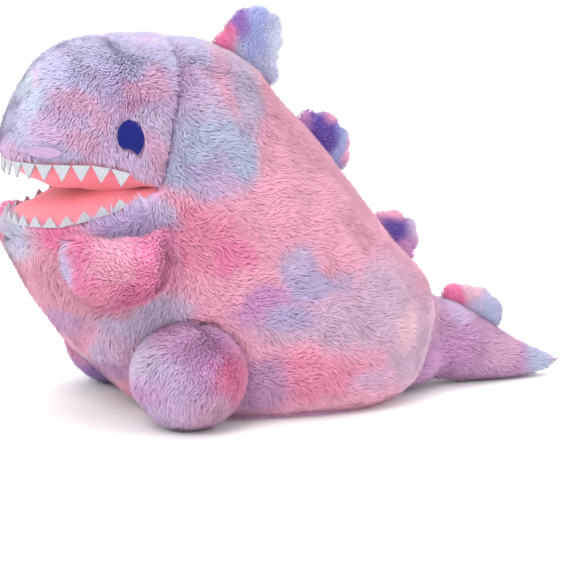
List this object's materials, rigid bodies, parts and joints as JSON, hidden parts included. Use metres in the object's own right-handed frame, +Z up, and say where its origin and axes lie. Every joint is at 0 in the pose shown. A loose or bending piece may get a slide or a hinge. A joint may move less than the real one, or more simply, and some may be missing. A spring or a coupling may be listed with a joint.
{
  "type": "stuffed dinosaur",
  "caption": "Seated plush dinosaur with long tie-dyed pile, an open toothed mouth, paddle arms, ball feet, a tapering tail and scalloped back plates.",
  "frame": {"origin": "on the floor under the middle of the toy, in the middle plane, on the flat face of the base panel", "axes": "+Z up, -Y towards the snout, +X towards the toy's left side"},
  "size_m": [0.294, 0.5146, 0.3354],
  "materials": {
    "body_pile": "long soft pile, tie-dyed pink, baby blue and lilac",
    "snout_pile": "long soft pile, tie-dyed lilac and pale blue",
    "arm_pile": "long soft pile, hot pink",
    "foot_pile": "long soft pile, orchid and lilac",
    "tail_pile": "long soft pile, mauve",
    "plate_pile": "soft pile, purple, periwinkle and pink",
    "base_pile": "short mauve pile",
    "mouth_lining": "smooth coral knitted fabric",
    "felt_teeth": "pale felt",
    "eye_embroidery": "navy satin stitch",
    "nostril_embroidery": "lilac satin stitch",
    "polyester_filling": "loose polyester fibre"
  },
  "bodies": {
    "torso": {"body_stuffing": "polyester_filling", "base_panel": "base_pile", "belly_panel_left": "body_pile", "belly_panel_right": "body_pile", "side_panel_left": "body_pile", "side_panel_right": "body_pile", "lower_mouth_lining": "mouth_lining", "lower_teeth": "felt_teeth"},
    "upper_jaw": {"head_stuffing": "polyester_filling", "head_cover_left": "snout_pile", "head_cover_right": "snout_pile", "upper_mouth_lining": "mouth_lining", "upper_teeth": "felt_teeth", "eye_left": "eye_embroidery", "eye_right": "eye_embroidery", "nostril_left": "nostril_embroidery", "nostril_right": "nostril_embroidery"},
    "arm_left": {"arm_left_cover": "arm_pile", "arm_left_stuffing": "polyester_filling"},
    "arm_right": {"arm_right_cover": "arm_pile", "arm_right_stuffing": "polyester_filling"},
    "foot_left": {"foot_left_cover": "foot_pile", "foot_left_stuffing": "polyester_filling"},
    "foot_right": {"foot_right_cover": "foot_pile", "foot_right_stuffing": "polyester_filling"},
    "tail": {"tail_cover": "tail_pile", "tail_stuffing": "polyester_filling"},
    "crest_plate": {"crest_plate_cover": "plate_pile", "crest_plate_stuffing": "polyester_filling"},
    "upper_plate": {"upper_plate_cover": "plate_pile", "upper_plate_stuffing": "polyester_filling"},
    "lower_plate": {"lower_plate_cover": "plate_pile", "lower_plate_stuffing": "polyester_filling"},
    "tail_plate": {"tail_plate_cover": "plate_pile", "tail_plate_stuffing": "polyester_filling"}
  },
  "joints": [
    {"name": "jaw_lift", "type": "hinge", "parent": "torso", "child": "upper_jaw", "pos_m": [0, -0.108, 0.314], "axis": [-1, 0, 0], "range_deg": [0, 12], "stiffness_Nm_per_rad": 0.4},
    {"name": "arm_left_swing", "type": "hinge", "parent": "torso", "child": "arm_left", "pos_m": [0.1, -0.137, 0.142], "axis": [0, 0, 1], "range_deg": [0, 40], "stiffness_Nm_per_rad": 0.02},
    {"name": "arm_right_swing", "type": "hinge", "parent": "torso", "child": "arm_right", "pos_m": [-0.1, -0.137, 0.142], "axis": [0, 0, -1], "range_deg": [0, 40], "stiffness_Nm_per_rad": 0.02},
    {"name": "foot_left_splay", "type": "hinge", "parent": "torso", "child": "foot_left", "pos_m": [0.1, -0.12, 0.0445], "axis": [0, 0, 1], "range_deg": [-12, 12], "stiffness_Nm_per_rad": 0.1},
    {"name": "foot_right_splay", "type": "hinge", "parent": "torso", "child": "foot_right", "pos_m": [-0.1, -0.12, 0.0445], "axis": [0, 0, -1], "range_deg": [-12, 12], "stiffness_Nm_per_rad": 0.1},
    {"name": "tail_wag", "type": "hinge", "parent": "torso", "child": "tail", "pos_m": [0, 0.0975, 0.0445], "axis": [0, 0, 1], "range_deg": [-14, 14], "stiffness_Nm_per_rad": 0.15},
    {"name": "crest_plate_fold", "type": "hinge", "parent": "torso", "child": "crest_plate", "pos_m": [0, -0.06069, 0.31331], "axis": [0, 0.8087, -0.5882], "range_deg": [-25, 25], "stiffness_Nm_per_rad": 0.01},
    {"name": "upper_plate_fold", "type": "hinge", "parent": "torso", "child": "upper_plate", "pos_m": [0, 0.01582, 0.24274], "axis": [0, 0.6128, -0.7902], "range_deg": [-25, 25], "stiffness_Nm_per_rad": 0.01},
    {"name": "lower_plate_fold", "type": "hinge", "parent": "torso", "child": "lower_plate", "pos_m": [0, 0.08381, 0.15275], "axis": [0, 0.6153, -0.7883], "range_deg": [-25, 25], "stiffness_Nm_per_rad": 0.01},
    {"name": "tail_plate_fold", "type": "hinge", "parent": "tail", "child": "tail_plate", "pos_m": [0, 0.1472, 0.08435], "axis": [0, 0.8682, -0.4961], "range_deg": [-25, 25], "stiffness_Nm_per_rad": 0.01}
  ]
}
